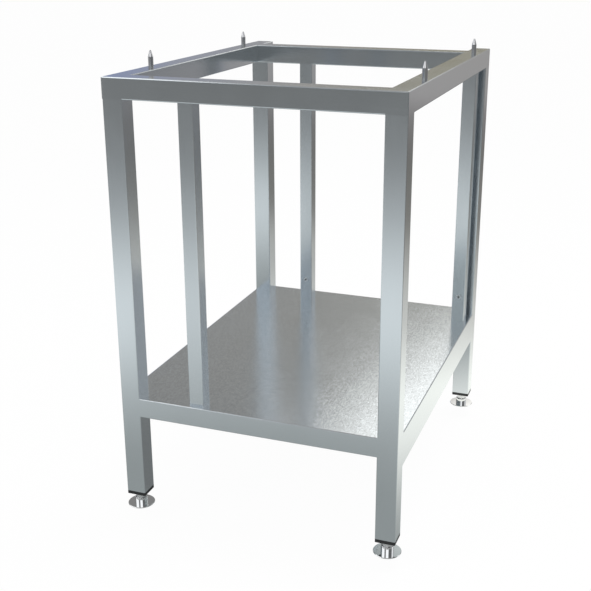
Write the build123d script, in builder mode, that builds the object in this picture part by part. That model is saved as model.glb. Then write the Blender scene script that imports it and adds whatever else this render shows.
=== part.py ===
"""Oven stand: a welded square-tube frame with locating pins, a folded shelf and levelling feet.

Millimetres. +Z is up, the front faces -Y, and the origin is on the floor below the middle of the frame.
"""

import os

from build123d import *

# Overall sizes and heights above the floor
width = 572
depth = 740
frame_top = 881
shelf_top = 248
leg_end = 35

# Tubes
tube = 40
tube_wall = 1.5
post = 30
edge_radius = 2
bore_radius = edge_radius - tube_wall

# The rear rail stands clear of the back plane of the legs
rear_setback = 60

# Rack posts: the left pair shares one line, and the right post is flush with the inside of the side rail
left_post_x = -125
front_post_inset = 10

# Folded shelf
sheet = 1.5
end_apron = 40
side_apron = 70
lip = 12
bend_radius = edge_radius

# Hat-section stiffeners under the shelf
stiffener_x = 120
stiffener_web = 40
stiffener_drop = 22
stiffener_flange = 12
stiffener_end_gap = 2.5

# Rivet nuts in the rear posts, for a tray rack
rack_insert_height = 63
rack_insert_bore = 2.1
rack_insert_body = 3.45
rack_insert_hole = 3.55
rack_insert_flange = 5
rack_insert_flange_thickness = 0.8
rack_insert_length = 13

# Locating pins on the side rails
pin_x = 272
pin_front_y = -206
pin_rear_y = 247
pin_radius = 5
pin_height = 32
pin_cone = 12.5
pin_tip_radius = 2
pin_spigot_radius = 4
pin_spigot_length = 6
pin_hole_radius = 4.05

# Plastic inserts in the leg ends, each with a captive long nut
insert_flange = 7
insert_plug_height = 26
insert_plug_gap = 0.6
insert_skin = 2.5
insert_fin = 1.2
insert_fin_heights = (6, 13, 20)
insert_boss_radius = 13.5
insert_rib = 3
insert_floor = 2
insert_hole_radius = 7
nut_across_flats = 18
nut_length = 24

# Levelling feet
stud_radius = 6
thread_clearance = 0.06
stud_bottom = 5.3
stud_top = 86
stud_chamfer = 1
disc_radius = 27.5
disc_thickness = 2
foot_edge = 0.7
hub_radius = 12.5
hub_top = 14.5
neck_radius = 9.4
neck_top_radius = 9
neck_top = 24
socket_floor = 5
clip_seat = 9
clip_thickness = 1.2
clip_groove_height = 1.6
clip_outer_radius = 7.6
clip_inner_radius = 5.4
clip_groove_depth = 0.9
clip_gap = 5

# Places worked out from the sizes above
half_width = width / 2
half_depth = depth / 2
leg_x = half_width - tube / 2
leg_y = half_depth - tube / 2
inner_x = half_width - tube
inner_y = half_depth - tube
rail_bottom = frame_top - tube
rail_z = frame_top - tube / 2
rear_rail_y = half_depth - rear_setback - tube / 2
rear_rail_front = rear_rail_y - tube / 2
right_post_x = inner_x + post / 2
front_post_y = -half_depth + front_post_inset + post / 2
rear_post_y = rear_rail_front + post / 2
insert_bottom = leg_end - insert_flange
shelf_underside = shelf_top - sheet

sides = {"left": -1, "right": 1}
ends = {"front": -1, "rear": 1}
corners = {f"{end}_{side}": (ends[end], sides[side]) for end in ends for side in sides}

os.makedirs("parts", exist_ok=True)


def finish(piece, name):
    """Labels a finished piece and writes it out."""
    piece.part.label = name
    export_step(piece.part, f"parts/{name}.step")


def tube_section(size):
    """Section of a square tube, drawn in the current sketch."""
    RectangleRounded(size, size, edge_radius)
    RectangleRounded(size - 2 * tube_wall, size - 2 * tube_wall, bore_radius, mode=Mode.SUBTRACT)


def square_edge(x, y, z, length, along, inward):
    """Fills a rounded tube edge to a square one, where a weld beside it is ground flush.

    x, y and z are the middle of the sharp edge, along is its axis, and inward points into the tube.
    """
    size = [edge_radius] * 3
    size["XYZ".index(along)] = length
    half = edge_radius / 2
    with Locations((x + inward[0] * half, y + inward[1] * half, z + inward[2] * half)):
        Box(*size)


def leg(end, side):
    """One leg: front legs butt under the mitred corner, rear legs are mitred into the side rails."""
    x = side * leg_x
    y = end * leg_y
    top = frame_top if end > 0 else rail_bottom
    with BuildPart() as piece:
        with BuildSketch(Plane.XY.offset(leg_end)):
            with Locations((x, y)):
                tube_section(tube)
        extrude(amount=top - leg_end)
        apron_z = shelf_top - end_apron / 2
        square_edge(side * inner_x, end * half_depth, apron_z, end_apron, "Z", (side, -end, 0))
        apron_z = shelf_top - side_apron / 2
        square_edge(side * half_width, end * inner_y, apron_z, side_apron, "Z", (-side, end, 0))
        if end > 0:
            split(bisect_by=Plane((x, half_depth, frame_top), z_dir=(0, 1, -1)), keep=Keep.TOP)
            with BuildSketch(Plane.YZ):
                with Locations((0, frame_top / 2)):
                    RectangleRounded(depth, frame_top, edge_radius)
            extrude(amount=width, both=True, mode=Mode.INTERSECT)
    return piece


for corner, (end, side) in corners.items():
    finish(leg(end, side), f"leg_{corner}")


# Front top rail, mitred into the side rails
with BuildPart() as front_rail:
    with BuildSketch(Plane((-half_width, -leg_y, rail_z), x_dir=(0, 1, 0), z_dir=(1, 0, 0))):
        tube_section(tube)
    extrude(amount=width)
    for side in sides.values():
        square_edge(side * leg_x, -half_depth, rail_bottom, tube, "X", (0, 1, 1))
    square_edge(left_post_x, -inner_y, rail_bottom, post, "X", (0, -1, 1))
    for side in sides.values():
        mitre = Plane((side * half_width, -half_depth, rail_z), z_dir=(-side, -1, 0))
        split(bisect_by=mitre, keep=Keep.TOP)
    with BuildSketch(Plane.XY.offset(rail_bottom)):
        RectangleRounded(width, depth, edge_radius)
    extrude(amount=tube, mode=Mode.INTERSECT)
finish(front_rail, "top_rail_front")


# Rear top rail, butted between the side rails
with BuildPart() as rear_rail:
    with BuildSketch(Plane((-inner_x, rear_rail_y, rail_z), x_dir=(0, 1, 0), z_dir=(1, 0, 0))):
        tube_section(tube)
    extrude(amount=2 * inner_x)
    square_edge(left_post_x, rear_rail_front, rail_bottom, post, "X", (0, 1, 1))
finish(rear_rail, "top_rail_rear")


def side_rail(side):
    """One side rail: mitred in plan at the front and in elevation at the rear, with two pin holes."""
    with BuildPart() as piece:
        with BuildSketch(Plane((side * leg_x, -half_depth, rail_z), x_dir=(1, 0, 0), z_dir=(0, 1, 0))):
            tube_section(tube)
        extrude(amount=depth)
        square_edge(side * half_width, -leg_y, rail_bottom, tube, "Y", (-side, 0, 1))
        for z, up in ((rail_bottom, 1), (frame_top, -1)):
            square_edge(side * inner_x, rear_rail_y, z, tube, "Y", (side, 0, up))
        split(bisect_by=Plane((side * half_width, -half_depth, rail_z), z_dir=(side, 1, 0)), keep=Keep.TOP)
        split(bisect_by=Plane((side * leg_x, half_depth, frame_top), z_dir=(0, -1, 1)), keep=Keep.TOP)
        with BuildSketch(Plane.XY.offset(rail_bottom)):
            RectangleRounded(width, depth, edge_radius)
        extrude(amount=tube, mode=Mode.INTERSECT)
        with BuildSketch(Plane.YZ):
            with Locations((0, frame_top / 2)):
                RectangleRounded(depth, frame_top, edge_radius)
        extrude(amount=width, both=True, mode=Mode.INTERSECT)
        with BuildSketch(Plane.XY.offset(frame_top)):
            with Locations((side * pin_x, pin_front_y), (side * pin_x, pin_rear_y)):
                Circle(pin_hole_radius)
        extrude(amount=-tube / 2, mode=Mode.SUBTRACT)
    return piece


for name, side in sides.items():
    finish(side_rail(side), f"top_rail_{name}")


# Shelf: one sheet with four aprons, each turned in to a lip along its lower edge
with BuildPart() as shelf:
    with BuildSketch(Plane.XY.offset(shelf_underside)):
        Rectangle(width, depth)
        with GridLocations(width - tube, depth - tube, 2, 2):
            Rectangle(tube, tube, mode=Mode.SUBTRACT)
    extrude(amount=sheet)
    notch_corners = shelf.edges().filter_by(Axis.Z).filter_by_position(Axis.X, -inner_x, inner_x)
    fillet(notch_corners.filter_by_position(Axis.Y, -inner_y, inner_y), edge_radius)
    for end in ends.values():
        with Locations((0, end * (half_depth - sheet / 2), shelf_top - end_apron / 2)):
            Box(2 * inner_x, sheet, end_apron)
        with Locations((0, end * (half_depth - lip / 2), shelf_top - end_apron + sheet / 2)):
            Box(2 * inner_x, lip, sheet)
    for side in sides.values():
        with Locations((side * (half_width - sheet / 2), 0, shelf_top - side_apron / 2)):
            Box(sheet, 2 * inner_y, side_apron)
        with Locations((side * (half_width - lip / 2), 0, shelf_top - side_apron + sheet / 2)):
            Box(lip, 2 * inner_y, sheet)
    for axis, reach, drop in ((Axis.Y, half_depth, end_apron), (Axis.X, half_width, side_apron)):
        run = Axis.X if axis == Axis.Y else Axis.Y
        for sign in (-1, 1):
            outside = shelf.edges().filter_by(run).filter_by_position(axis, sign * reach, sign * reach)
            fillet(outside.group_by(Axis.Z)[0] + outside.group_by(Axis.Z)[-1], bend_radius)
finish(shelf, "shelf")


def stiffener(side):
    """Hat section welded to the underside of the shelf, running from front to rear."""
    length = depth - 2 * (sheet + stiffener_end_gap)
    web_z = shelf_underside - stiffener_drop
    flange_x = (stiffener_web + stiffener_flange) / 2
    with BuildPart() as piece:
        with BuildSketch(Plane((side * stiffener_x, length / 2, 0), x_dir=(1, 0, 0), z_dir=(0, -1, 0))):
            with Locations((0, web_z + sheet / 2)):
                Rectangle(stiffener_web, sheet)
            for sign in (-1, 1):
                with Locations((sign * (stiffener_web - sheet) / 2, shelf_underside - stiffener_drop / 2)):
                    Rectangle(sheet, stiffener_drop)
                with Locations((sign * flange_x, shelf_underside - sheet / 2)):
                    Rectangle(stiffener_flange, sheet)
        extrude(amount=length)
    return piece


for name, side in sides.items():
    finish(stiffener(side), f"shelf_stiffener_{name}")


def rack_post(x, y, drilled):
    """Post from the shelf up to the top frame, drilled in front where it holds a rivet nut."""
    with BuildPart() as piece:
        with BuildSketch(Plane.XY.offset(shelf_top)):
            with Locations((x, y)):
                tube_section(post)
        extrude(amount=rail_bottom - shelf_top)
        if drilled:
            with BuildSketch(Plane((x, y - post / 2, shelf_top + rack_insert_height), z_dir=(0, -1, 0))):
                Circle(rack_insert_hole)
            extrude(amount=-post / 2, mode=Mode.SUBTRACT)
    return piece


finish(rack_post(left_post_x, front_post_y, False), "rack_post_front_left")
finish(rack_post(left_post_x, rear_post_y, True), "rack_post_rear_left")
finish(rack_post(right_post_x, rear_post_y, True), "rack_post_rear_right")


def rack_insert(x):
    """Rivet nut set in the front wall of a rear post."""
    face = Plane((x, rear_rail_front, shelf_top + rack_insert_height), z_dir=(0, -1, 0))
    with BuildPart() as piece:
        with BuildSketch(face):
            Circle(rack_insert_flange)
        extrude(amount=rack_insert_flange_thickness)
        chamfer(piece.edges().group_by(Axis.Y)[0], rack_insert_flange_thickness / 3)
        with BuildSketch(face):
            Circle(rack_insert_body)
        extrude(amount=-rack_insert_length)
        with BuildSketch(face.offset(rack_insert_flange_thickness)):
            Circle(rack_insert_bore)
        extrude(amount=-rack_insert_length - rack_insert_flange_thickness, mode=Mode.SUBTRACT)
    return piece


finish(rack_insert(left_post_x), "rack_insert_left")
finish(rack_insert(right_post_x), "rack_insert_right")


def locating_pin(x, y):
    """Round pin with a cone and a rounded tip, and a spigot let into the rail."""
    shoulder = pin_height - pin_cone
    tip = pin_height - pin_tip_radius
    with BuildPart() as piece:
        with BuildSketch(Plane((x, y, frame_top), x_dir=(1, 0, 0), z_dir=(0, -1, 0))):
            with BuildLine():
                Polyline((0, pin_height), (0, -pin_spigot_length), (pin_spigot_radius, -pin_spigot_length))
                Polyline((pin_spigot_radius, -pin_spigot_length), (pin_spigot_radius, 0), (pin_radius, 0))
                Polyline((pin_radius, 0), (pin_radius, shoulder), (pin_tip_radius, tip))
                JernArc((pin_tip_radius, tip), (0, 1), pin_tip_radius, 90)
            make_face()
        revolve(axis=Axis((x, y, 0), (0, 0, 1)))
    return piece


pin_rows = {"front": pin_front_y, "rear": pin_rear_y}
for end, y in pin_rows.items():
    for name, side in sides.items():
        finish(locating_pin(side * pin_x, y), f"locating_pin_{end}_{name}")


def leg_insert(x, y):
    """Ribbed plug with a flange under the leg, a pocket for the nut and a hole for the stud."""
    bore = tube - 2 * tube_wall
    plug = bore - insert_plug_gap
    hollow = plug - 2 * insert_skin
    with BuildPart() as piece:
        with BuildSketch(Plane.XY.offset(insert_bottom)):
            with Locations((x, y)):
                RectangleRounded(tube, tube, edge_radius)
        extrude(amount=insert_flange)
        with BuildSketch(Plane.XY.offset(leg_end)):
            with Locations((x, y)):
                RectangleRounded(plug, plug, bore_radius)
                RectangleRounded(hollow, hollow, bore_radius, mode=Mode.SUBTRACT)
                Rectangle(insert_rib, plug - insert_skin)
                Rectangle(plug - insert_skin, insert_rib)
                Circle(insert_boss_radius)
        extrude(amount=insert_plug_height)
        for height in insert_fin_heights:
            with BuildSketch(Plane.XY.offset(leg_end + height)):
                with Locations((x, y)):
                    RectangleRounded(bore, bore, bore_radius)
                    Rectangle(plug - insert_skin, plug - insert_skin, mode=Mode.SUBTRACT)
            extrude(amount=insert_fin)
        with BuildSketch(Plane.XY.offset(insert_bottom + insert_floor)):
            with Locations((x, y)):
                RegularPolygon(nut_across_flats / 2, 6, major_radius=False)
        extrude(amount=insert_flange + insert_plug_height, mode=Mode.SUBTRACT)
        with BuildSketch(Plane.XY.offset(insert_bottom)):
            with Locations((x, y)):
                Circle(insert_hole_radius)
        extrude(amount=insert_floor, mode=Mode.SUBTRACT)
    return piece


def insert_nut(x, y):
    """Long hexagon nut pressed into the plug."""
    with BuildPart() as piece:
        with BuildSketch(Plane.XY.offset(insert_bottom + insert_floor)):
            with Locations((x, y)):
                RegularPolygon(nut_across_flats / 2, 6, major_radius=False)
                Circle(stud_radius + thread_clearance, mode=Mode.SUBTRACT)
        extrude(amount=nut_length)
    return piece


def foot_base(x, y):
    """Disc with a hub and a slim neck, bored for the end of the stud and grooved for its clip."""
    socket = stud_radius + thread_clearance
    groove_top = clip_seat + clip_groove_height
    with BuildPart() as piece:
        with BuildSketch(Plane((x, y, 0), x_dir=(1, 0, 0), z_dir=(0, -1, 0))):
            with BuildLine():
                Polyline(
                    (0, 0),
                    (disc_radius - foot_edge, 0),
                    (disc_radius, foot_edge),
                    (disc_radius, disc_thickness - foot_edge),
                    (disc_radius - foot_edge, disc_thickness),
                    (hub_radius, disc_thickness),
                    (hub_radius, hub_top - foot_edge),
                    (hub_radius - foot_edge, hub_top),
                    (neck_radius, hub_top),
                    (neck_top_radius, neck_top),
                    (socket, neck_top),
                    (socket, groove_top),
                    (clip_outer_radius, groove_top),
                    (clip_outer_radius, clip_seat),
                    (socket, clip_seat),
                    (socket, socket_floor),
                    (0, socket_floor),
                    close=True,
                )
            make_face()
        revolve(axis=Axis((x, y, 0), (0, 0, 1)))
    return piece


def foot_stud(x, y):
    """Stud that screws into the leg and turns in the foot's socket."""
    neck = stud_radius - clip_groove_depth
    with BuildPart() as piece:
        with BuildSketch(Plane((x, y, 0), x_dir=(1, 0, 0), z_dir=(0, -1, 0))):
            with BuildLine():
                Polyline(
                    (0, stud_bottom),
                    (stud_radius, stud_bottom),
                    (stud_radius, clip_seat),
                    (neck, clip_seat),
                    (neck, clip_seat + clip_groove_height),
                    (stud_radius, clip_seat + clip_groove_height),
                    (stud_radius, stud_top - stud_chamfer),
                    (stud_radius - stud_chamfer, stud_top),
                    (0, stud_top),
                    close=True,
                )
            make_face()
        revolve(axis=Axis((x, y, 0), (0, 0, 1)))
    return piece


def foot_clip(x, y):
    """Open snap ring that sits in the hub's groove and reaches into the groove of the stud."""
    lift = (clip_groove_height - clip_thickness) / 2
    with BuildPart() as piece:
        with BuildSketch(Plane.XY.offset(clip_seat + lift)):
            with Locations((x, y)):
                Circle(clip_outer_radius)
                Circle(clip_inner_radius, mode=Mode.SUBTRACT)
            with Locations((x + clip_outer_radius, y)):
                Rectangle(2 * clip_outer_radius, clip_gap, mode=Mode.SUBTRACT)
        extrude(amount=clip_thickness)
    return piece


makers = {
    "leg_insert": leg_insert,
    "insert_nut": insert_nut,
    "foot_base": foot_base,
    "foot_stud": foot_stud,
    "foot_clip": foot_clip,
}
for corner, (end, side) in corners.items():
    for kind, make in makers.items():
        finish(make(side * leg_x, end * leg_y), f"{kind}_{corner}")
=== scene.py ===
"""Looks and studio for the oven stand: brushed steel frame, polished feet and pins, black plastic plugs."""

import math

import bmesh
import bpy
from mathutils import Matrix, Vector


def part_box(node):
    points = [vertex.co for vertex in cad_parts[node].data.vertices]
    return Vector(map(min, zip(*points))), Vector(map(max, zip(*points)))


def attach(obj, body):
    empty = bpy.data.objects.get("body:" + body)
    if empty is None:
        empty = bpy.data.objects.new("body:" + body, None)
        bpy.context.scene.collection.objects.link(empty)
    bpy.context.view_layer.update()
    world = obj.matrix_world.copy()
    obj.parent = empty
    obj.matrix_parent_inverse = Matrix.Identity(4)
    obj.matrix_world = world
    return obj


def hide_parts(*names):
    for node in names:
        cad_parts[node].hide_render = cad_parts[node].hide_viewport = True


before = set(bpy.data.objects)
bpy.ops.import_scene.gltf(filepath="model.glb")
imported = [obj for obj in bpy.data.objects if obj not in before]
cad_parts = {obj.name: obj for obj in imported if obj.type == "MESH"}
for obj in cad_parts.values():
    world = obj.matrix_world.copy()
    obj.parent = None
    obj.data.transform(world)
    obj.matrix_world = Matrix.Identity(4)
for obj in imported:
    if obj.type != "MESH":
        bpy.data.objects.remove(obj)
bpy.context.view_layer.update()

CORNERS = ("front_left", "front_right", "rear_left", "rear_right")
NOISE_MIDDLE = 0.5


class Wire:
    """One output of a shader node. Arithmetic with it adds Math nodes."""

    def __init__(self, tree, socket):
        self.tree = tree
        self.socket = socket

    @staticmethod
    def node(tree, kind, settings=None, inputs=None, output=0):
        """Adds a node: settings first, then its sockets' values or links. Gives the named output."""
        made = tree.nodes.new("ShaderNode" + kind)
        for name, value in (settings or {}).items():
            if name == "stops":
                stops = made.color_ramp.elements
                while len(stops) < len(value):
                    stops.new(1.0)
                for stop, (place, colour) in zip(stops, value):
                    stop.position = place
                    stop.color = (*colour, 1.0)
            elif name == "curve":
                made.color_ramp.interpolation = value
            else:
                setattr(made, name, value)
        for name, value in (inputs or {}).items():
            if isinstance(value, Wire):
                tree.links.new(value.socket, made.inputs[name])
            else:
                made.inputs[name].default_value = value
        return Wire(tree, made.outputs[output]) if len(made.outputs) else None

    def math(self, operation, *values):
        """A Math node on these values, in order."""
        return Wire.node(self.tree, "Math", {"operation": operation}, dict(enumerate(values)))

    def vector(self, operation, *others):
        """A Vector Math node on this vector and the others, in order."""
        return Wire.node(self.tree, "VectorMath", {"operation": operation}, dict(enumerate((self, *others))))

    def scaled(self, factor):
        """This vector or colour times a number."""
        return Wire.node(self.tree, "VectorMath", {"operation": "SCALE"}, {0: self, "Scale": factor})

    def axis(self, name):
        """X, Y or Z of this vector."""
        return Wire.node(self.tree, "SeparateXYZ", inputs={"Vector": self}, output=name)

    def noise(self, scale, detail):
        """Soft noise over this place."""
        return Wire.node(self.tree, "TexNoise", inputs={"Vector": self, "Scale": scale, "Detail": detail})

    def __add__(self, other):
        return self.math("ADD", self, other)

    def __radd__(self, other):
        return self.math("ADD", other, self)

    def __sub__(self, other):
        return self.math("SUBTRACT", self, other)

    def __rsub__(self, other):
        return self.math("SUBTRACT", other, self)

    def __mul__(self, other):
        return self.math("MULTIPLY", self, other)

    def __rmul__(self, other):
        return self.math("MULTIPLY", other, self)

    def __truediv__(self, other):
        return self.math("DIVIDE", self, other)

    def __rtruediv__(self, other):
        return self.math("DIVIDE", other, self)


def ease(value, low, high):
    """0 below low, 1 above high, and smooth between them."""
    settings = {"interpolation_type": "SMOOTHSTEP"}
    return Wire.node(value.tree, "MapRange", settings, {"Value": value, "From Min": low, "From Max": high})


def fade(value, low, high):
    """1 below low, 0 above high, and smooth between them."""
    return 1 - ease(value, low, high)


def band(value, low, high, soft):
    """1 between low and high, fading to 0 over soft on both sides."""
    return ease(value, low - soft, low) * fade(value, high, high + soft)


def blend(factor, first, second):
    """Mixes two colours."""
    inputs = {"Factor": factor, 6: first, 7: second}
    return Wire.node(factor.tree, "Mix", {"data_type": "RGBA"}, inputs, 2)


def ramp(value, stops, low, high, curve="LINEAR"):
    """Colours along a value: each stop is a place between low and high, and its colour."""
    shares = [((at - low) / (high - low), colour) for at, colour in stops]
    inputs = {"Fac": (value - low) / (high - low)}
    return Wire.node(value.tree, "ValToRGB", {"stops": shares, "curve": curve}, inputs)


def grey(value, tint=(1.0, 1.0, 1.0)):
    """A grey of that level, slightly tinted, as a four-number colour."""
    return (value * tint[0], value * tint[1], value * tint[2], 1.0)


def new_material(name):
    """An empty node material and its tree."""
    material = bpy.data.materials.new(name)
    material.use_nodes = True
    material.node_tree.nodes.clear()
    return material, material.node_tree


def finish_surface(tree, shader):
    """Sends a shader to the material's output."""
    Wire.node(tree, "OutputMaterial", inputs={"Surface": shader})


def finish_metal(tree, colour, roughness, normal):
    """Sends a metal of that colour, roughness and normal to the material's output."""
    inputs = {"Base Color": colour, "Metallic": 1.0, "Roughness": roughness, "Normal": normal}
    finish_surface(tree, Wire.node(tree, "BsdfPrincipled", inputs=inputs))


def object_place(tree):
    """The place on an object, in metres."""
    return Wire.node(tree, "TexCoord", output="Object")


# Brushed steel of the frame and shelf

STEEL_DARK = (0.6, 0.64, 0.67, 1.0)
STEEL_LIGHT = (0.65, 0.693, 0.725, 1.0)
LINES_ALONG = 9.0
LINES_ACROSS = 1300.0
LINE_DETAIL = 2.0
LINE_BUMP = 0.035
LINE_DEPTH = 0.0004
LINE_ROUGHNESS = 0.08
CLOUD_SCALE = 14.0
CLOUD_DETAIL = 4.0
CLOUD_SHARE = 0.6
CLOUD_ROUGHNESS = 0.06
FLAKES_PER_METRE = (440.0, 200.0, 440.0)
FLAKE_TONE = 0.16
UPWARD_FACES = (0.9, 0.99)


def brushed_steel(name, line_axis, roughness, flake_lean=0.0):
    """Stainless steel with polishing lines along one axis and faint clouds, or flakes too on upward faces."""
    material, tree = new_material(name)
    place = object_place(tree)
    stretch = [LINES_ACROSS] * 3
    stretch["XYZ".index(line_axis)] = LINES_ALONG
    lines = place.vector("MULTIPLY", stretch).noise(1.0, LINE_DETAIL)
    clouds = place.noise(CLOUD_SCALE, CLOUD_DETAIL)
    colour = blend(clouds * CLOUD_SHARE + lines * (1 - CLOUD_SHARE), STEEL_DARK, STEEL_LIGHT)
    rough = roughness + (lines - NOISE_MIDDLE) * LINE_ROUGHNESS + (clouds - NOISE_MIDDLE) * CLOUD_ROUGHNESS
    normal = Wire.node(tree, "Bump", inputs={"Strength": LINE_BUMP, "Distance": LINE_DEPTH, "Height": lines})
    if flake_lean:
        spread = place.vector("MULTIPLY", FLAKES_PER_METRE)
        flakes = Wire.node(tree, "TexVoronoi", inputs={"Vector": spread, "Scale": 1.0}, output="Color")
        facing = Wire.node(tree, "NewGeometry", output="Normal")
        upward = ease(facing.axis("Z"), *UPWARD_FACES)
        lean = flakes.vector("SUBTRACT", [NOISE_MIDDLE] * 3).scaled(upward * flake_lean)
        normal = normal.vector("ADD", lean).vector("NORMALIZE")
        tone = 1.0 + (flakes.axis("Z") - NOISE_MIDDLE) * upward * FLAKE_TONE
        colour = colour.vector("MULTIPLY", tone)
    finish_metal(tree, colour, rough, normal)
    return material


# Turned steel of the pins, feet, screws and rivet nuts

RINGS_PER_METRE = (60.0, 60.0, 2600.0)
RING_DETAIL = 1.0
RING_DEPTH = 0.0002
RING_ROUGHNESS = 0.04
TARNISH_SCALE = 120.0
TARNISH_DETAIL = 3.0
TARNISH_SHADE = 0.94
SATIN_ROUGHNESS = 0.33
SATIN_EDGE = 0.0004
HUB_SATIN_FROM = 0.0136


def turned_steel(name, colour, roughness, ring_bump, satin_from=None):
    """Turned steel with fine tool rings round the vertical axis, left satin from a given height up."""
    material, tree = new_material(name)
    place = object_place(tree)
    rings = place.vector("MULTIPLY", RINGS_PER_METRE).noise(1.0, RING_DETAIL)
    tarnish = place.noise(TARNISH_SCALE, TARNISH_DETAIL)
    shade = blend(tarnish, grey(TARNISH_SHADE, colour), grey(1.0, colour))
    normal = Wire.node(tree, "Bump", inputs={"Strength": ring_bump, "Distance": RING_DEPTH, "Height": rings})
    rough = roughness + (rings - NOISE_MIDDLE) * RING_ROUGHNESS
    if satin_from is not None:
        rough = rough + ease(place.axis("Z"), satin_from, satin_from + SATIN_EDGE) * SATIN_ROUGHNESS
    finish_metal(tree, shade, rough, normal)
    return material


# Black plastic of the plugs

PLASTIC_DARK = (0.010, 0.011, 0.012, 1.0)
PLASTIC_LIGHT = (0.020, 0.022, 0.024, 1.0)
PLASTIC_ROUGHNESS = 0.42
PLASTIC_GRAIN_SCALE = 1800.0
PLASTIC_GRAIN_DETAIL = 2.0
PLASTIC_GRAIN_BUMP = 0.15
PLASTIC_GRAIN_DEPTH = 0.0002
PLASTIC_GRAIN_ROUGHNESS = 0.2
PLASTIC_WEAR_SCALE = 60.0
PLASTIC_WEAR_DETAIL = 4.0


def moulded_plastic(name):
    """Satin black plastic with a fine moulded grain."""
    material, tree = new_material(name)
    place = object_place(tree)
    grain = place.noise(PLASTIC_GRAIN_SCALE, PLASTIC_GRAIN_DETAIL)
    wear = place.noise(PLASTIC_WEAR_SCALE, PLASTIC_WEAR_DETAIL)
    colour = blend(wear, PLASTIC_DARK, PLASTIC_LIGHT)
    rough = PLASTIC_ROUGHNESS + (grain - NOISE_MIDDLE) * PLASTIC_GRAIN_ROUGHNESS
    inputs = {"Strength": PLASTIC_GRAIN_BUMP, "Distance": PLASTIC_GRAIN_DEPTH, "Height": grain}
    normal = Wire.node(tree, "Bump", inputs=inputs)
    inputs = {"Base Color": colour, "Roughness": rough, "Normal": normal}
    finish_surface(tree, Wire.node(tree, "BsdfPrincipled", inputs=inputs))
    return material


leg_steel = brushed_steel("leg_steel", "Z", roughness=0.2)
post_steel = brushed_steel("post_steel", "Z", roughness=0.22)
cross_steel = brushed_steel("cross_steel", "X", roughness=0.17)
side_steel = brushed_steel("side_steel", "Y", roughness=0.17)
shelf_steel = brushed_steel("shelf_steel", "Y", roughness=0.2, flake_lean=0.02)
polished_steel = turned_steel(
    "polished_steel",
    colour=(0.78, 0.79, 0.80),
    roughness=0.05,
    ring_bump=0.02,
    satin_from=HUB_SATIN_FROM,
)
pin_steel = turned_steel("pin_steel", colour=(0.60, 0.61, 0.63), roughness=0.16, ring_bump=0.05)
screw_steel = turned_steel("screw_steel", colour=(0.52, 0.53, 0.55), roughness=0.22, ring_bump=0.08)
plated_steel = turned_steel("plated_steel", colour=(0.70, 0.73, 0.75), roughness=0.3, ring_bump=0.05)
black_plastic = moulded_plastic("black_plastic")

# The first start that fits a piece's name gives its finish
FINISHES = (
    ("leg_insert", black_plastic),
    ("leg_", leg_steel),
    ("rack_post", post_steel),
    ("top_rail_front", cross_steel),
    ("top_rail_rear", cross_steel),
    ("top_rail", side_steel),
    ("shelf", shelf_steel),
    ("locating_pin", pin_steel),
    ("foot_base", polished_steel),
    ("foot_stud", screw_steel),
    ("foot_clip", screw_steel),
    ("insert_nut", screw_steel),
    ("rack_insert", plated_steel),
)

for name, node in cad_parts.items():
    node.data.materials.clear()
    node.data.materials.append(next(finish for start, finish in FINISHES if name.startswith(start)))


def object_from(name, shape):
    """Puts a shape into the scene as an object."""
    mesh = bpy.data.meshes.new(name)
    shape.to_mesh(mesh)
    shape.free()
    made = bpy.data.objects.new(name, mesh)
    bpy.context.scene.collection.objects.link(made)
    return made


# Threaded studs of the feet

THREAD_PITCH = 0.00175
THREAD_CREST = 0.00596
THREAD_ROOT = 0.0051
THREAD_FLAT = 0.15
THREAD_SIDES = 40
THREAD_ROWS_PER_TURN = 6
THREAD_FROM = 0.022
THREAD_TO = 0.064
CLIP_GROOVE = (0.009, 0.0106)
STUD_CHAMFER = 0.001


def thread_radius(turn):
    """Radius of the thread, for a place along one pitch from 0 to 1: crest, flank, root and flank."""
    rise = abs(turn % 1.0 - 0.5) * 2.0
    share = (rise - THREAD_FLAT) / (1 - 2 * THREAD_FLAT)
    return THREAD_ROOT + (THREAD_CREST - THREAD_ROOT) * min(max(share, 0.0), 1.0)


def stud_rows(low, high):
    """Heights along the stud with the radius at each, or None where the thread gives it."""
    groove_low, groove_high = CLIP_GROOVE
    step = THREAD_PITCH / THREAD_ROWS_PER_TURN
    count = int((THREAD_TO - THREAD_FROM) / step)
    return [
        (low, THREAD_CREST),
        (groove_low, THREAD_CREST),
        (groove_low, THREAD_ROOT),
        (groove_high, THREAD_ROOT),
        (groove_high, THREAD_CREST),
        (THREAD_FROM, THREAD_CREST),
        *[(THREAD_FROM + step * index, None) for index in range(1, count)],
        (THREAD_TO, THREAD_CREST),
        (high - STUD_CHAMFER, THREAD_CREST),
        (high, THREAD_CREST - STUD_CHAMFER),
    ]


def threaded_stud(corner):
    """A stud with a cut thread where it can show, plain ends and the clip's groove."""
    low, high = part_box(f"foot_stud_{corner}")
    centre_x, centre_y = (low.x + high.x) / 2, (low.y + high.y) / 2
    shape = bmesh.new()
    rings = []
    for z, plain_radius in stud_rows(low.z, high.z):
        ring = []
        for side in range(THREAD_SIDES):
            turn = side / THREAD_SIDES
            angle = turn * math.tau
            radius = thread_radius(z / THREAD_PITCH - turn) if plain_radius is None else plain_radius
            x = centre_x + radius * math.cos(angle)
            y = centre_y + radius * math.sin(angle)
            ring.append(shape.verts.new((x, y, z)))
        rings.append(ring)
    for lower, upper in zip(rings, rings[1:]):
        for side in range(THREAD_SIDES):
            after = (side + 1) % THREAD_SIDES
            shape.faces.new((lower[side], lower[after], upper[after], upper[side]))
    shape.faces.new(list(reversed(rings[0])))
    shape.faces.new(rings[-1])
    stud = object_from(f"threaded_stud_{corner}", shape)
    stud.data.materials.append(screw_steel)
    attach(stud, f"stud_{corner}")
    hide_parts(f"foot_stud_{corner}")


for corner in CORNERS:
    threaded_stud(corner)


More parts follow.
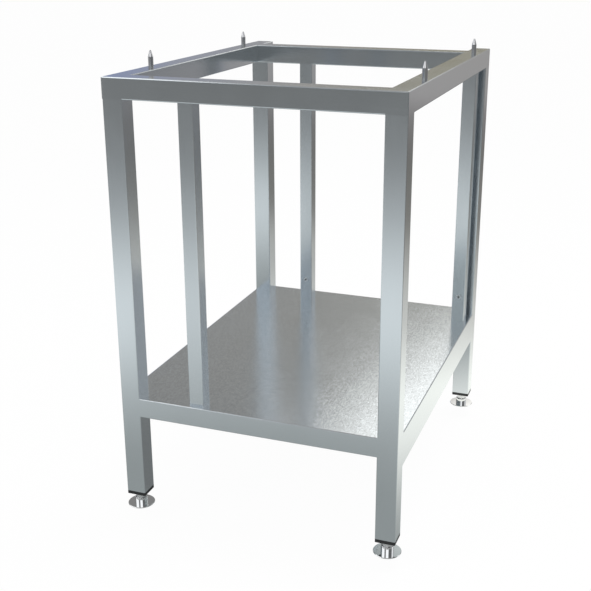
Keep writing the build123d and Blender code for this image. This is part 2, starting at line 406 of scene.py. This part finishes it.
# Graded card on the floor that only the metal sees, and a plain one under it

STUDIO_RADIUS = 6.0
STUDIO_SIDES = 96
CARD_HEIGHT = 0.0006
UNDER_CARD_HEIGHT = 0.0003
UNDER_CARD_GREY = 0.4

# Colours by metres from the middle; in front, the darker grey near the stand is painted shadow of the stand
CARD_FRONT = (
    (0.6, (0.41, 0.43, 0.42)),
    (1.65, (1.03, 1.07, 1.07)),
    (3.3, (0.42, 0.433, 0.434)),
    (4.8, (0.225, 0.226, 0.222)),
)
CARD_BACK = (
    (0.2, (0.97, 0.97, 0.92)),
    (0.57, (1.22, 1.23, 1.15)),
    (1.0, (0.75, 0.74, 0.7)),
    (2.15, (0.26, 0.25, 0.23)),
    (3.5, (0.185, 0.177, 0.165)),
    (4.8, (0.23, 0.217, 0.212)),
    (6.0, (0.4, 0.379, 0.371)),
)
CARD_BACK_LEFT = (0.42, 0.445, 0.5, 1.0)

# Edges in metres or degrees: start and end of a change, or both ends of a region and its softness
BEHIND_SLANT = 0.7
BEHIND_EDGE = (-0.05, 0.42)
FAR_LEFT_EDGE = (1.5, 4.0)
BACK_LEFT_X = (-0.05, 0.2)
BACK_LEFT_Y = (1.4, 1.9)
FRONT_LANE_TURN = (20.0, 28.0, 2.5)
FRONT_LANE_REACH = (1.3, 3.9, 0.4)
NEAR_LANE_TURN = (27.2, 30.0, 1.2)
NEAR_LANE_REACH = (1.1, 2.9, 0.3)
FAR_LANE_TURN = (15.7, 18.4, 1.0)
FAR_LANE_REACH = (2.3, 3.0)
BACK_PATCH_X = (0.2, 0.4, 0.07)
BACK_PATCH_Y = (1.55, 2.3, 0.25)
# Painted shadow of the stand: a dark grey patch on the card under it
PAINTED_SHADOW_X = (-0.3, 0.04, 0.12)
PAINTED_SHADOW_Y = (-0.28, 0.3, 0.12)

# How much each region changes the card
FAR_LEFT_WHITE = 0.06
FRONT_LANE_LOSS = 0.15
NEAR_LANE_GAIN = 0.17
FAR_LANE_GAIN = 0.3
BACK_PATCH_GAIN = 0.24
# Grey and strength of the painted shadow under the stand
PAINTED_SHADOW_GREY = 0.16
PAINTED_SHADOW_SHARE = 0.75


def angle(across, along):
    """Degrees by which a direction turns from along towards across."""
    return across.math("ARCTAN2", across, along) * math.degrees(1.0)


def distance(x, y):
    """Distance from the vertical axis."""
    square = x * x + y * y
    return square.math("SQRT", square)


def floor_card_colour(tree):
    """A bright ring in front and a bright patch at the back right; painted shadow of the stand below it and
    darker in front near it; dark far out.
    """
    place = object_place(tree)
    x, y = place.axis("X"), place.axis("Y")
    reach = distance(x, y)
    front = ramp(reach, CARD_FRONT, 0.0, STUDIO_RADIUS, curve="EASE")
    back = ramp(reach, CARD_BACK, 0.0, STUDIO_RADIUS)
    behind = ease(x * BEHIND_SLANT + y * BEHIND_SLANT, *BEHIND_EDGE)
    shade = blend(behind, front, back)
    far_left = ease(x * -1.0, *FAR_LEFT_EDGE)
    shade = blend(far_left * FAR_LEFT_WHITE, shade, grey(1.0))
    back_left = fade(x, *BACK_LEFT_X) * ease(y, *BACK_LEFT_Y)
    shade = blend(back_left, shade, CARD_BACK_LEFT)
    front_turn = angle(x * -1.0, y * -1.0)
    back_turn = angle(x, y)
    front_lane = band(front_turn, *FRONT_LANE_TURN) * band(reach, *FRONT_LANE_REACH)
    near_lane = band(back_turn, *NEAR_LANE_TURN) * band(reach, *NEAR_LANE_REACH)
    far_lane = band(back_turn, *FAR_LANE_TURN) * ease(reach, *FAR_LANE_REACH)
    back_patch = band(x, *BACK_PATCH_X) * band(y, *BACK_PATCH_Y)
    level = 1 - front_lane * FRONT_LANE_LOSS + near_lane * NEAR_LANE_GAIN
    level = level + far_lane * FAR_LANE_GAIN + back_patch * BACK_PATCH_GAIN
    # Painted shadow: the card turns dark grey under the stand
    painted_shadow = band(x, *PAINTED_SHADOW_X) * band(y, *PAINTED_SHADOW_Y)
    return blend(painted_shadow * PAINTED_SHADOW_SHARE, shade.scaled(level), grey(PAINTED_SHADOW_GREY))


# Dome round the studio that only the metal sees

# Colours by degrees of rise, and at the back by degrees of turn from +Y towards +X
WALL_TOP = 90.0
WALL = (
    (0.0, (0.225, 0.226, 0.222)),
    (31.0, (0.25, 0.25, 0.25)),
    (40.0, (0.4, 0.39, 0.38)),
    (WALL_TOP, (0.5, 0.49, 0.48)),
)
BACK_WALL_SPAN = (-45.0, 45.0)
BACK_WALL = (
    (-38.0, (0.21, 0.3, 0.6)),
    (-30.0, (0.34, 0.36, 0.45)),
    (-20.0, (0.362, 0.35, 0.335)),
    (-10.0, (0.268, 0.248, 0.174)),
    (4.0, (0.36, 0.343, 0.33)),
    (15.5, (0.405, 0.387, 0.376)),
    (19.5, (0.5, 0.476, 0.464)),
    (26.0, (0.3, 0.298, 0.315)),
)
LEFT_WALL = grey(0.42)
HAZE_LOW = grey(0.405, (1.0, 0.97, 0.9))
HAZE_HIGH = grey(0.35, (1.0, 0.965, 0.9))
SIDE_PANEL = grey(0.68)
BACK_BOX = grey(2.2, (1.0, 0.985, 0.95))
LEFT_BOX = grey(1.7)
GAP_RIGHT = (0.95, 1.02, 1.0, 1.0)
GAP_LEFT = (0.69, 0.77, 0.84, 1.0)
BELOW = grey(0.5)

# Edges in degrees, and for the left box as shares of the height
LEFT_WALL_TURN = (-135.0, -60.0, 18.0)
LEFT_WALL_TOP = (8.0, 14.0)
BACK_WALL_TURN = (-42.0, 28.0, 6.0)
BACK_WALL_TOP = (16.5, 20.5)
HAZE_TURN = (-44.0, 8.0, 6.0)
HAZE_RISE = (19.5, 29.0, 3.0)
HAZE_CHANGE = (21.0, 25.0)
SIDE_PANEL_TURN = (14.0, 40.0, 6.0)
SIDE_PANEL_RISE = (17.0, 32.0, 3.0)
BACK_BOX_TURN = -9.5
BACK_BOX_SLANT = 0.76
BACK_BOX_EDGE = (22.0, 29.5)
BACK_BOX_FOOT = (21.0, 26.0)
BACK_BOX_TOP = (34.0, 39.0)
BACK_BOX_RIGHT = (-3.0, 8.0)
LEFT_BOX_X = (-1.2, -0.53, 0.12)
LEFT_BOX_Y = (-0.8, 0.5, 0.2)
BACK_SEAM = (-0.5, 0.5)
WHOLE_TURN = 360.0
FRONT_BOX_FOOT = (14.0, 30.0)
FRONT_BOX_TOP = (44.0, 47.0)
FRONT_BOX_SOFT = 3.0
GAP_TURN = (178.0, 212.0, 3.0)
GAP_RISE = (18.0, 23.5, 3.0)
GAP_CHANGE = (191.0, 199.0)
BELOW_EDGE = (-2.0, -0.5)

# Start and end of each front box in degrees round the dome, and its level
FRONT_BOXES = (
    (38.0, 78.0, 1.25),
    (86.0, 136.0, 0.2),
    (142.0, 181.0, 1.6),
    (209.0, 272.0, 1.6),
)


def dome_colour(tree):
    """Grey walls, blue at the back left and warm at the back, with soft boxes above and plain grey below."""
    place = object_place(tree)
    x, y, z = place.axis("X"), place.axis("Y"), place.axis("Z")
    turn = angle(x, y)
    rise = angle(z, distance(x, y))
    shade = ramp(rise, WALL, 0.0, WALL_TOP)
    left_wall = band(turn, *LEFT_WALL_TURN) * fade(rise, *LEFT_WALL_TOP)
    shade = blend(left_wall, shade, LEFT_WALL)
    back_wall = band(turn, *BACK_WALL_TURN) * fade(rise, *BACK_WALL_TOP)
    shade = blend(back_wall, shade, ramp(turn, BACK_WALL, *BACK_WALL_SPAN))
    haze = band(turn, *HAZE_TURN) * band(rise, *HAZE_RISE)
    shade = blend(haze, shade, blend(ease(rise, *HAZE_CHANGE), HAZE_LOW, HAZE_HIGH))
    side_panel = band(turn, *SIDE_PANEL_TURN) * band(rise, *SIDE_PANEL_RISE)
    shade = blend(side_panel, shade, SIDE_PANEL)
    box_edge = rise + (turn - BACK_BOX_TURN) * BACK_BOX_SLANT
    box_height = ease(rise, *BACK_BOX_FOOT) * fade(rise, *BACK_BOX_TOP)
    back_box = ease(box_edge, *BACK_BOX_EDGE) * box_height * fade(turn, *BACK_BOX_RIGHT)
    shade = blend(back_box, shade, BACK_BOX)
    left_box = band(x / z, *LEFT_BOX_X) * band(y / z, *LEFT_BOX_Y)
    shade = blend(left_box, shade, LEFT_BOX)
    around = turn + fade(turn, *BACK_SEAM) * WHOLE_TURN
    front_height = ease(rise, *FRONT_BOX_FOOT) * fade(rise, *FRONT_BOX_TOP)
    for start, end, level in FRONT_BOXES:
        front_box = band(around, start, end, FRONT_BOX_SOFT) * front_height
        shade = blend(front_box, shade, grey(level))
    gap = band(around, *GAP_TURN) * band(rise, *GAP_RISE)
    shade = blend(gap, shade, blend(ease(around, *GAP_CHANGE), GAP_RIGHT, GAP_LEFT))
    return blend(fade(rise, *BELOW_EDGE), shade, BELOW)


# Studio: a pale floor below the lowest place of the feet, the cards, a soft light and two lamps

FLOOR_RADIUS = 60.0
FLOOR_HEIGHT = -0.029
FLOOR_WHITE = 0.97
FLOOR_MATT = 0.9
WORLD_LIGHT = 0.6
SEEN_RAYS = ("Is Camera Ray", "Is Glossy Ray", "Is Transmission Ray")


def disc(name, radius, height):
    """A flat round sheet of the stage."""
    shape = bmesh.new()
    bmesh.ops.create_circle(shape, cap_ends=True, radius=radius, segments=STUDIO_SIDES)
    bmesh.ops.translate(shape, verts=shape.verts, vec=(0, 0, height))
    sheet = object_from(name, shape)
    return sheet


def dome(name, radius):
    """A sphere round the studio. Its lower half shows only on feet screwed out below the floor card."""
    shape = bmesh.new()
    bmesh.ops.create_uvsphere(shape, u_segments=STUDIO_SIDES, v_segments=STUDIO_SIDES // 2, radius=radius)
    cover = object_from(name, shape)
    return cover


def seen_rays(tree):
    """1 for rays from the camera and for rays mirrored or bent by the object, else 0."""
    camera, glossy, bent = [Wire.node(tree, "LightPath", output=name) for name in SEEN_RAYS]
    total = camera + glossy + bent
    return total.math("MINIMUM", total, 1.0)


def pale_floor():
    """A matt floor that is almost white where the camera sees it, and that the metal doesn't see."""
    floor = disc("floor", FLOOR_RADIUS, FLOOR_HEIGHT)
    material, tree = new_material("pale_floor")
    matt = Wire.node(tree, "BsdfDiffuse", inputs={"Color": grey(FLOOR_MATT)})
    white = Wire.node(tree, "Emission", inputs={"Color": grey(1.0), "Strength": 1.0})
    share = seen_rays(tree) * FLOOR_WHITE
    finish_surface(tree, Wire.node(tree, "MixShader", inputs={0: share, 1: matt, 2: white}))
    floor.data.materials.append(material)
    floor.visible_glossy = False


def reflect_only(card, colour_of):
    """Lets a card glow in reflections alone: it neither lights nor shades anything else."""
    material, tree = new_material(card.name)
    finish_surface(tree, Wire.node(tree, "Emission", inputs={"Color": colour_of(tree), "Strength": 1.0}))
    card.data.materials.append(material)
    card.visible_camera = False
    card.visible_diffuse = False
    card.visible_shadow = False
    card.visible_volume_scatter = False


def studio_world():
    """White where it is seen, and a soft even light elsewhere."""
    world = bpy.data.worlds.new("studio")
    bpy.context.scene.world = world
    world.use_nodes = True
    tree = world.node_tree
    tree.nodes.clear()
    strength = seen_rays(tree) * (1 - WORLD_LIGHT) + WORLD_LIGHT
    light = Wire.node(tree, "Background", inputs={"Color": grey(1.0), "Strength": strength})
    Wire.node(tree, "OutputWorld", inputs={"Surface": light})


def soft_lamp(name, place, target, size, power):
    """A large soft lamp aimed at a point; the metal sees the cards in its stead."""
    lamp = bpy.data.lights.new(name, "AREA")
    lamp.shape = "DISK"
    lamp.size = size
    lamp.energy = power
    holder = bpy.data.objects.new(name, lamp)
    holder.location = place
    holder.rotation_mode = "QUATERNION"
    holder.rotation_quaternion = (Vector(target) - Vector(place)).to_track_quat("-Z", "Y")
    holder.visible_glossy = False
    bpy.context.scene.collection.objects.link(holder)


pale_floor()
reflect_only(disc("floor_card", STUDIO_RADIUS, CARD_HEIGHT), floor_card_colour)
reflect_only(disc("under_card", STUDIO_RADIUS, UNDER_CARD_HEIGHT), lambda tree: grey(UNDER_CARD_GREY))
reflect_only(dome("studio_dome", STUDIO_RADIUS), dome_colour)
studio_world()
soft_lamp("top_lamp", place=(0.9, 0.6, 3.2), target=(0.0, 0.0, 0.3), size=2.4, power=60.0)
soft_lamp("front_lamp", place=(-1.8, -2.6, 2.2), target=(0.0, 0.0, 0.4), size=1.6, power=25.0)


# Camera at the photographed angle

CAMERA_PLACE = (0.6860, -1.96315, 1.1093)
CAMERA_TURN = math.radians(19.786)
CAMERA_RISE = math.radians(18.679)
CAMERA_LENS = 60.99
CAMERA_SENSOR = 36.0
CAMERA_SHIFT = (-0.02242, -0.02393)
CAMERA_NEAR = 0.05
CAMERA_FAR = 200.0


def photo_camera():
    """The scene's camera, to the right of the front and looking down."""
    camera = bpy.data.cameras.new("camera")
    camera.sensor_width = CAMERA_SENSOR
    camera.lens = CAMERA_LENS
    camera.shift_x, camera.shift_y = CAMERA_SHIFT
    camera.clip_start = CAMERA_NEAR
    camera.clip_end = CAMERA_FAR
    holder = bpy.data.objects.new("camera", camera)
    level = math.cos(CAMERA_RISE)
    back = Vector((math.sin(CAMERA_TURN) * level, -math.cos(CAMERA_TURN) * level, math.sin(CAMERA_RISE)))
    holder.location = CAMERA_PLACE
    holder.rotation_mode = "QUATERNION"
    holder.rotation_quaternion = (-back).to_track_quat("-Z", "Y")
    bpy.context.scene.collection.objects.link(holder)
    bpy.context.scene.camera = holder


photo_camera()
bpy.context.scene.view_settings.view_transform = "Standard"
